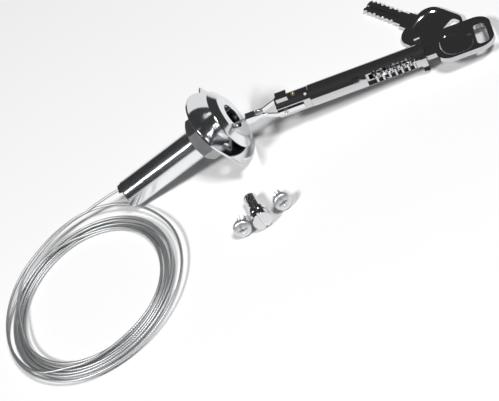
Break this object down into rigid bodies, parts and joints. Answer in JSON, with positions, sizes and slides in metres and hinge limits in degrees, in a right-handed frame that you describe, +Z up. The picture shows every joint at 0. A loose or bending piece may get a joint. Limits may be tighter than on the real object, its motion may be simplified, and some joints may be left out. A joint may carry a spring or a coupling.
{
  "type": "emergency release lock set",
  "caption": "Cable release lock for an overhead door: threaded barrel, face plate, nut, keyed lock rod on a coiled steel cable, spare key, cable connector and screws.",
  "frame": {"origin": "on the table, under the middle of the set without its cable", "axes": "+X the way the barrel points, from its tip to its mouth; +Y away from the connector and screws; +Z up from the table"},
  "size_m": [0.288, 0.1541, 0.0405],
  "materials": {
    "bright_chrome": "bright chrome plate",
    "dark_nickel": "polished nickel plate",
    "key_nickel": "satin nickel plate",
    "fitting_chrome": "chrome plate",
    "bright_steel": "zinc-bright steel",
    "brass": "polished",
    "steel_rope": "stranded steel cable"
  },
  "bodies": {
    "barrel": {"threaded_barrel": "bright_chrome", "face_plate": "bright_chrome", "cable_lead": "steel_rope", "cable_coil": "steel_rope"},
    "nut": {"hex_nut": "dark_nickel"},
    "lock_rod": {"lock_plug": "dark_nickel", "tail_sleeve": "dark_nickel", "tail_pin": "bright_steel", "detent_spring": "bright_steel", "cable_yoke": "bright_chrome", "yoke_pin": "bright_steel", "cable_stop": "steel_rope", "wafer_spring_1": "bright_steel", "wafer_spring_2": "bright_steel", "wafer_spring_3": "bright_steel", "wafer_spring_4": "bright_steel", "wafer_spring_5": "bright_steel", "wafer_spring_6": "bright_steel", "wafer_spring_7": "bright_steel"},
    "catch": {"retainer_catch": "dark_nickel"},
    "ball": {"detent_ball": "brass"},
    "key": {"key": "key_nickel"},
    "spare_key": {"spare_key": "key_nickel"},
    "connector": {"connector_body": "fitting_chrome"},
    "clamp_screw": {"clamp_screw": "fitting_chrome"},
    "screw_1": {"mounting_screw_1": "bright_steel"},
    "screw_2": {"mounting_screw_2": "bright_steel"},
    "wafer_1": {"wafer_1": "dark_nickel"},
    "wafer_2": {"wafer_2": "dark_nickel"},
    "wafer_3": {"wafer_3": "dark_nickel"},
    "wafer_4": {"wafer_4": "dark_nickel"},
    "wafer_5": {"wafer_5": "dark_nickel"},
    "wafer_6": {"wafer_6": "dark_nickel"},
    "wafer_7": {"wafer_7": "dark_nickel"}
  },
  "joints": [
    {"name": "nut_slide", "type": "slide", "parent": "barrel", "child": "nut", "axis": [0.9789, 0, 0.2045], "range_m": [-0.033, 0.0025]},
    {"name": "rod_swing", "type": "hinge", "parent": "barrel", "child": "lock_rod", "pos_m": [-0.0269, 0.00296, 0.017], "axis": [0, 0, 1], "range_deg": [-35, 0]},
    {"name": "key_slide", "type": "slide", "parent": "lock_rod", "child": "key", "axis": [0.9921, -0.0912, -0.0861], "range_m": [0, 0.03]},
    {"name": "catch_press", "type": "slide", "parent": "lock_rod", "child": "catch", "axis": [0.0237, 0.8103, -0.5856], "range_m": [0, 0.0006], "stiffness_N_per_m": 150, "springref_m": -0.0004},
    {"name": "ball_press", "type": "slide", "parent": "lock_rod", "child": "ball", "axis": [-0.0857, 0.0079, -0.9963], "range_m": [0, 0.0006], "stiffness_N_per_m": 150, "springref_m": -0.0004},
    {"name": "wafer_1_slide", "type": "slide", "parent": "lock_rod", "child": "wafer_1", "axis": [-0.0787, -0.9872, 0.1387], "range_m": [0, 0.0007]},
    {"name": "wafer_2_slide", "type": "slide", "parent": "lock_rod", "child": "wafer_2", "axis": [0.0787, 0.9872, -0.1387], "range_m": [0, 0.0007]},
    {"name": "wafer_3_slide", "type": "slide", "parent": "lock_rod", "child": "wafer_3", "axis": [-0.0787, -0.9872, 0.1387], "range_m": [0, 0.0007]},
    {"name": "wafer_4_slide", "type": "slide", "parent": "lock_rod", "child": "wafer_4", "axis": [0.0787, 0.9872, -0.1387], "range_m": [0, 0.0007]},
    {"name": "wafer_5_slide", "type": "slide", "parent": "lock_rod", "child": "wafer_5", "axis": [-0.0787, -0.9872, 0.1387], "range_m": [0, 0.0007]},
    {"name": "wafer_6_slide", "type": "slide", "parent": "lock_rod", "child": "wafer_6", "axis": [0.0787, 0.9872, -0.1387], "range_m": [0, 0.0007]},
    {"name": "wafer_7_slide", "type": "slide", "parent": "lock_rod", "child": "wafer_7", "axis": [-0.0787, -0.9872, 0.1387], "range_m": [0, 0.0007]},
    {"name": "spare_key_slide", "type": "slide", "parent": "barrel", "child": "spare_key", "axis": [-0.527, 0.8499, 0], "range_m": [0, 0.05]},
    {"name": "connector_lift", "type": "slide", "parent": "barrel", "child": "connector", "axis": [0, 0, 1], "range_m": [0, 0.03]},
    {"name": "clamp_screw_slide", "type": "slide", "parent": "connector", "child": "clamp_screw", "axis": [0.1931, -0.9752, 0.1079], "range_m": [0, 0.004]},
    {"name": "screw_1_lift", "type": "slide", "parent": "barrel", "child": "screw_1", "axis": [0, 0, 1], "range_m": [0, 0.03]},
    {"name": "screw_2_lift", "type": "slide", "parent": "barrel", "child": "screw_2", "axis": [0, 0, 1], "range_m": [0, 0.03]}
  ],
  "couplings": [
    {"joint": "wafer_1_slide", "follows": "key_slide", "ratio": 0.02331},
    {"joint": "wafer_2_slide", "follows": "key_slide", "ratio": 0.02331},
    {"joint": "wafer_3_slide", "follows": "key_slide", "ratio": 0.02331},
    {"joint": "wafer_4_slide", "follows": "key_slide", "ratio": 0.02331},
    {"joint": "wafer_5_slide", "follows": "key_slide", "ratio": 0.02331},
    {"joint": "wafer_6_slide", "follows": "key_slide", "ratio": 0.02331},
    {"joint": "wafer_7_slide", "follows": "key_slide", "ratio": 0.02331}
  ]
}
